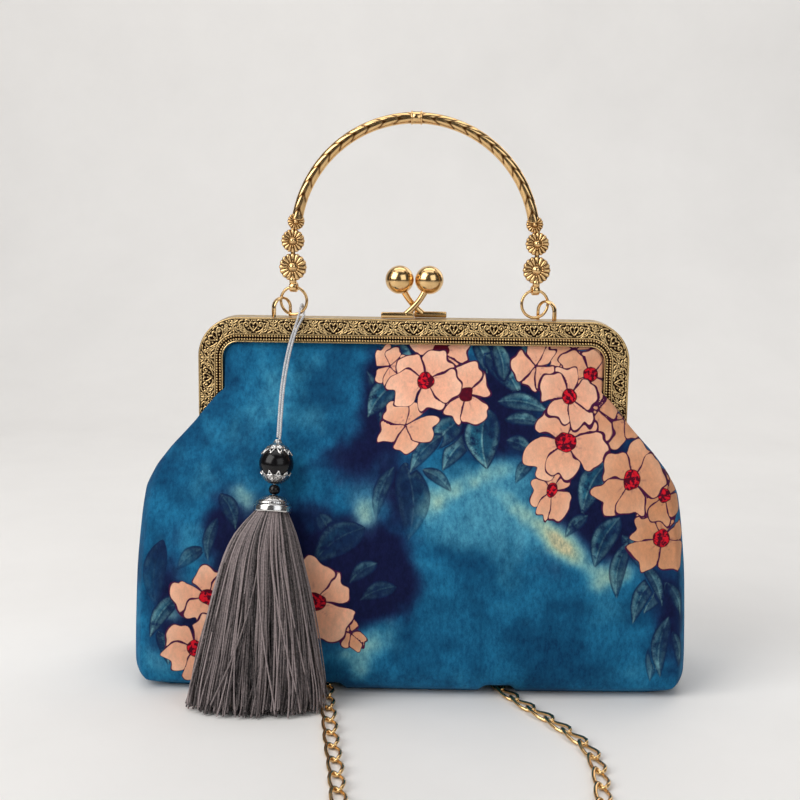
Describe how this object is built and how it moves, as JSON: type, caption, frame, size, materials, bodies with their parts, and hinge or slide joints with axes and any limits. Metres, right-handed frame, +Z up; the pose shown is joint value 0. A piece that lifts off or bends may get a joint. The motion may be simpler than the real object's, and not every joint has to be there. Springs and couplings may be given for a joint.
{
  "type": "clasp handbag",
  "caption": "Soft floral cloth handbag in an embossed metal kiss-lock frame, with a swinging cast handle, a beaded tassel and a chain strap.",
  "frame": {"origin": "middle of the pouch's base, on the surface it stands on", "axes": "+X to the right as seen from the front, -Y towards the front, +Z up through the frame and handle"},
  "size_m": [0.2658, 0.27, 0.271],
  "materials": {
    "cloth": "printed suede-like woven cloth",
    "antique_gold": "embossed, antiqued",
    "gold": "polished light gold plate",
    "silver": "antiqued silver",
    "black_bead": "glossy",
    "thread": "rayon thread",
    "cord": "braided cord"
  },
  "bodies": {
    "bag": {"bag_body": "cloth", "frame_front": "antique_gold", "frame_back": "antique_gold", "hinge_pin_left": "antique_gold", "hinge_pin_right": "antique_gold", "clasp_front": "gold", "clasp_back": "gold", "lug_left": "gold", "lug_right": "gold", "strap_eye_left": "gold", "strap_eye_right": "gold", "strap_chain_left": "gold", "strap_chain_right": "gold", "tassel_cord": "cord", "bead_cap_top": "silver", "bead_large": "black_bead", "bead_cap_bottom": "silver", "bead_small": "black_bead", "tassel_cap": "silver", "tassel_fringe": "thread"},
    "handle": {"handle": "gold", "ring_left": "gold", "ring_right": "gold"}
  },
  "joints": [
    {"name": "handle_swing", "type": "hinge", "parent": "bag", "child": "handle", "pos_m": [0, -0.0035, 0.177], "axis": [1, 0, 0], "range_deg": [-90, 0]}
  ]
}
